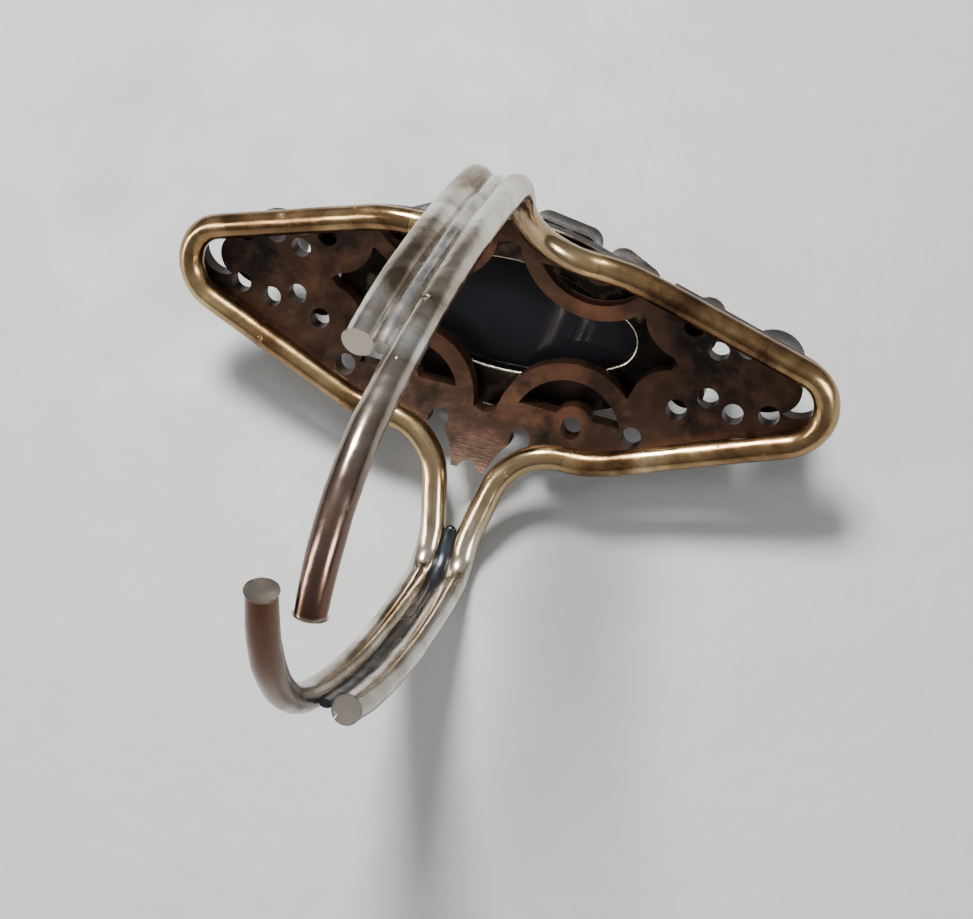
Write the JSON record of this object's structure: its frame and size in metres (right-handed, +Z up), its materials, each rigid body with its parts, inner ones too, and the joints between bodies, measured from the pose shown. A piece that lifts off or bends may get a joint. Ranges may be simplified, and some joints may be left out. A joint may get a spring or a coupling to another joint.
{
  "type": "cocktail ring",
  "caption": "Openwork ring head with an oval stone and a garland of small stones, on an open two-wire shank bent to fit a finger.",
  "frame": {"origin": "On the surface that the ring lies on, under the middle of its box.", "axes": "+Z up, X along the head and along the finger's axis, Y across the ring as it lies on its side; the shank's arms reach towards -Y."},
  "size_m": [0.028, 0.024, 0.0222],
  "materials": {
    "plate": "oxidised copper brown, darker at the edges, worn bright on raised rims",
    "tray": "blackened, with a polished inner edge",
    "bezel": "blackened walls with polished lips",
    "frame_wire": "antiqued bronze, polished on top",
    "shank_wire": "worn polished silver tone with brown tarnish",
    "solder": "dark blue-grey solder",
    "stone": "opaque glossy black"
  },
  "bodies": {
    "head": {"back_plate": "plate", "left_frame_wire": "frame_wire", "right_frame_wire": "frame_wire", "stone_tray": "tray", "centre_bezel": "bezel", "centre_stone": "stone", "large_upper_left_bezel": "bezel", "large_upper_left_stone": "stone", "large_upper_right_bezel": "bezel", "large_upper_right_stone": "stone", "large_lower_left_bezel": "bezel", "large_lower_left_stone": "stone", "large_lower_right_bezel": "bezel", "large_lower_right_stone": "stone", "medium_upper_left_bezel": "bezel", "medium_upper_left_stone": "stone", "medium_upper_right_bezel": "bezel", "medium_upper_right_stone": "stone", "medium_lower_left_bezel": "bezel", "medium_lower_left_stone": "stone", "medium_lower_right_bezel": "bezel", "medium_lower_right_stone": "stone", "small_upper_left_bezel": "bezel", "small_upper_left_stone": "stone", "small_upper_right_bezel": "bezel", "small_upper_right_stone": "stone", "small_lower_left_bezel": "bezel", "small_lower_left_stone": "stone", "small_lower_right_bezel": "bezel", "small_lower_right_stone": "stone", "tip_left_bezel": "bezel", "tip_left_stone": "stone", "tip_right_bezel": "bezel", "tip_right_stone": "stone"},
    "upper_arm": {"upper_long_wire": "shank_wire", "upper_short_wire": "shank_wire", "upper_solder": "solder"},
    "lower_arm": {"lower_long_wire": "shank_wire", "lower_short_wire": "shank_wire", "lower_solder": "solder"}
  },
  "joints": [
    {"name": "upper_arm_bend", "type": "hinge", "parent": "head", "child": "upper_arm", "pos_m": [0, 0.00851, 0.009], "axis": [1, 0, 0], "range_deg": [-10, 4]},
    {"name": "lower_arm_bend", "type": "hinge", "parent": "head", "child": "lower_arm", "pos_m": [0, 0.00297, 0.00267], "axis": [1, 0, 0], "range_deg": [-4, 10]}
  ]
}
